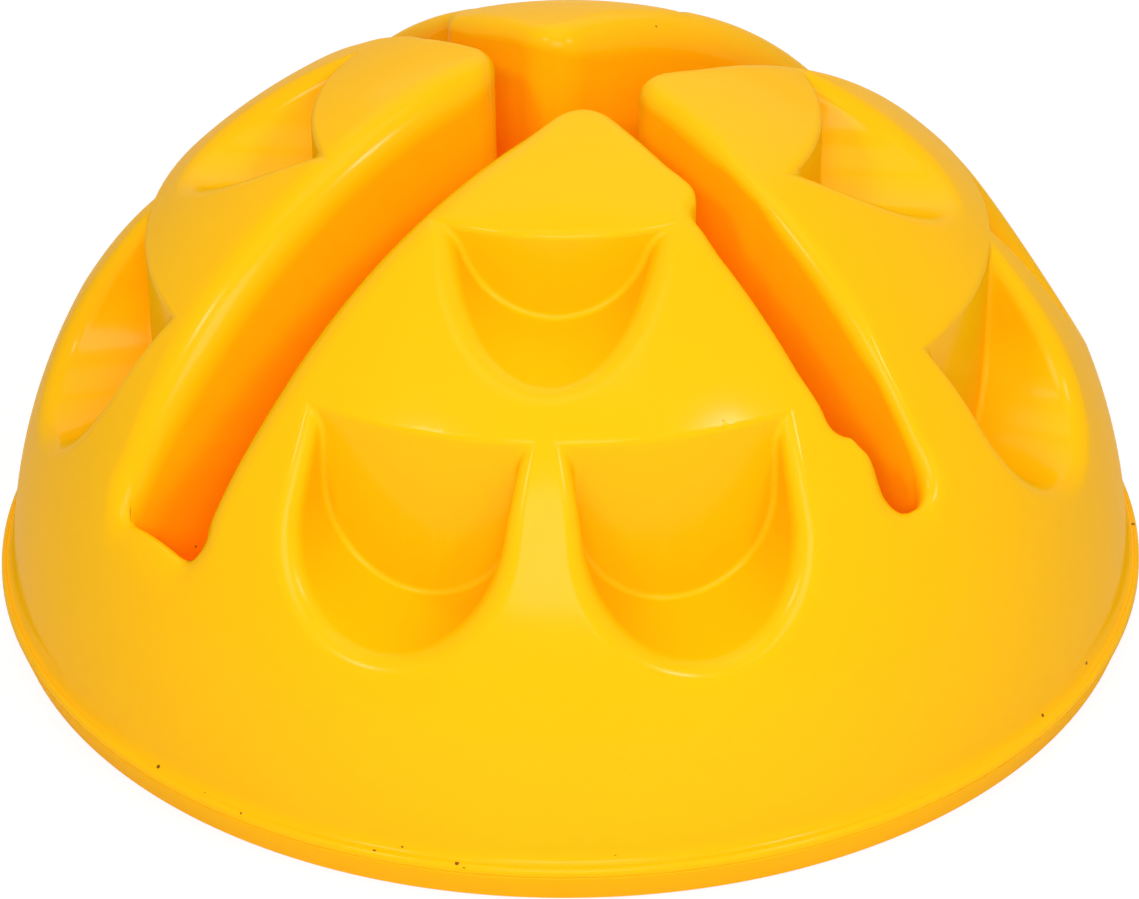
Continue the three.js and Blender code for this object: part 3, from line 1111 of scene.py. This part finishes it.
@dataclass(frozen=True)
class FootPad:
    """A round rubber pad with rounded edges and grip rings underneath."""

    radius: float = 14
    thickness: float = 4
    rounding: float = 0.8
    ring_count: int = 5
    ring_depth: float = 0.6
    ring_margin: float = 2
    ring_foot: float = 0.34
    ring_crest: float = 0.26
    first_ring: float = 0.9
    edge_start: float = 1.4
    edge_top: float = 1.2

    def build(self) -> Object:
        """Make one pad at the origin, standing on height 0."""
        pitch = (self.radius - self.ring_margin) / (self.ring_count + 0.5)
        foot, crest = pitch * self.ring_foot, pitch * self.ring_crest
        points = [(0, self.ring_depth), (pitch * 0.35, self.ring_depth)]
        for i in range(self.ring_count):
            middle = pitch * (i + self.first_ring)
            points += [(middle - foot, self.ring_depth), (middle - crest, 0)]
            points += [(middle + crest, 0), (middle + foot, self.ring_depth)]
        edge, top = self.radius - self.rounding, self.thickness - self.rounding
        points += [(edge - self.edge_start, self.ring_depth), (edge - self.edge_top, 0)]
        points += arc(edge, self.rounding, self.rounding, -90, 0, 4)
        points += arc(edge, top, self.rounding, 0, 90, 4)
        points.append((0, self.thickness))
        return smoothed(spun(points, 64, "foot_pad"))


@dataclass(frozen=True)
class View:
    """The camera, where it stood for the photograph."""

    elevation: float = math.radians(33.83)
    distance: float = 1.7211
    bearing: float = math.radians(40.66)
    pitch: float = math.radians(32.36)
    roll: float = math.radians(-0.48)
    lens: float = 121.58
    sensor: float = 36
    floor_height: float = 0.0015
    far_clip: float = 50

    def place(self) -> None:
        """Make the camera and give it to the scene."""
        data = bpy.data.cameras.new("camera")
        data.lens = self.lens
        data.sensor_width = self.sensor
        data.clip_end = self.far_clip
        camera = new_object("camera", data)
        right = Vector((1, 0, 0))
        ahead = Vector((0, math.cos(self.pitch), -math.sin(self.pitch)))
        above = right.cross(ahead)
        tilt = Matrix.Rotation(-self.roll, 3, ahead)
        right, above = tilt @ right, tilt @ above
        spot = Vector((0, -math.cos(self.elevation), math.sin(self.elevation))) * self.distance
        turn = Matrix.Rotation(-self.bearing, 3, "Z")
        axes = [turn @ axis for axis in (right, above, -ahead)]
        pose = Matrix(axes).transposed().to_4x4()
        pose.translation = turn @ spot + UP * self.floor_height
        camera.matrix_world = pose
        bpy.context.scene.camera = camera


@dataclass(frozen=True)
class Studio:
    """A plain pale floor, a white surround and soft lights."""

    floor_size: float = 12
    floor_glow: float = 0.85
    floor_strength: float = 1.05
    world_strength: float = 0.3

    def seen(self, tree: NodeTree) -> NodeSocket:
        """Mark the rays that show the background: straight, mirrored or through glass."""
        rays = add_node(tree, "LightPath").outputs
        share = rays["Is Camera Ray"]
        for kind in ("Glossy", "Transmission"):
            values = {0: share, 1: rays[f"Is {kind} Ray"]}
            share = add_node(tree, "Math", values, operation="MAXIMUM").outputs[0]
        return share

    def floor(self) -> Object:
        """Make the floor."""
        bm = bmesh.new()
        bmesh.ops.create_grid(bm, x_segments=2, y_segments=2, size=self.floor_size / 2)
        piece = finished(bm, "studio_floor")
        material, tree = new_material("pale_floor")
        matt = add_node(tree, "BsdfDiffuse", {"Color": colour("#F4F4F4")})
        white = {"Color": colour("#FFFFFF"), "Strength": self.floor_strength}
        glow = add_node(tree, "Emission", white).outputs[0]
        values = {0: self.seen(tree), 1: self.floor_glow}
        share = add_node(tree, "Math", values, operation="MULTIPLY").outputs[0]
        mixed = add_node(tree, "MixShader", {0: share, 1: matt.outputs[0], 2: glow})
        add_node(tree, "OutputMaterial", {"Surface": mixed.outputs[0]})
        piece.data.materials.append(material)
        return piece

    def lamp(self, name: str, spot: Triple, size: float, power: float) -> None:
        """Hang one square soft light that faces the dome."""
        data = bpy.data.lights.new(name, "AREA")
        data.shape = "SQUARE"
        data.size = size
        data.energy = power
        place = Vector(spot)
        facing = place.to_track_quat("Z", "Y").to_matrix().to_4x4()
        new_object(name, data).matrix_world = Matrix.Translation(place) @ facing

    def light(self) -> None:
        """Set the world and the lamps."""
        world = bpy.data.worlds.new("surround")
        world.use_nodes = True
        tree = world.node_tree
        tree.nodes.clear()
        values = {0: self.seen(tree), 1: self.world_strength}
        strength = add_node(tree, "Math", values, operation="MAXIMUM").outputs[0]
        glow = add_node(tree, "Background", {"Color": colour("#FFFFFF"), "Strength": strength})
        add_node(tree, "OutputWorld", {"Surface": glow.outputs[0]})
        bpy.context.scene.world = world
        self.lamp("left_softbox", spot=(-1.51, -0.24, 1.58), size=0.3, power=7.5)
        self.lamp("right_softbox", spot=(0.13, -1.47, 1.63), size=0.3, power=9)
        self.lamp("front_bank", spot=(-1.05, -1.22, 1.12), size=0.8, power=12.5)
        self.lamp("top_bank", spot=(-0.3, -0.3, 2.4), size=1.2, power=7)
        self.lamp("back_bank", spot=(1.1, 1.1, 1.9), size=2.4, power=19)


def main() -> None:
    """Build the dome, the floor, the lights and the camera in order."""
    logging.basicConfig(level=logging.INFO)
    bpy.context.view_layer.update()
    View().place()
    screws = on_circle(count=8, radius=236.5, first=math.pi / 8)
    pads = on_circle(count=8, radius=230) + on_circle(count=4, radius=100)
    yellow = MouldedPolyethylene().material()
    dress(DomeShell(screw_places=tuple(screws)).build(), yellow, "dome_shell")
    duller = MouldedPolyethylene(
        "moulded_polyethylene_of_base", "#FDBB0C", "#FAB40A", gloss=0.12, gloss_roughness=0.36
    )
    dress(BasePlate().build(pads, screws), duller.material(), "base_plate")
    screw = BaseScrew().build()
    zinc = ZincPlatedSteel().material()
    for number, (x, y) in enumerate(screws, 1):
        piece = copy_at(screw, f"pan_head_screw_{number}", (x, y, BaseScrew.seat_level))
        dress(piece, zinc, f"base_screw_{number}")
    bpy.data.objects.remove(screw)
    pad = FootPad().build()
    rubber = GripRubber().material()
    for number, (x, y) in enumerate(pads, 1):
        piece = copy_at(pad, f"grip_pad_{number}", (x, y, 0))
        dress(piece, rubber, f"foot_pad_{number}")
    bpy.data.objects.remove(pad)
    studio = Studio()
    studio.floor()
    studio.light()
    scene = bpy.context.scene
    scene.view_settings.view_transform = "Standard"
    scene.cycles.max_bounces = 24
    scene.cycles.diffuse_bounces = 20


if __name__ == "__main__":
    main()
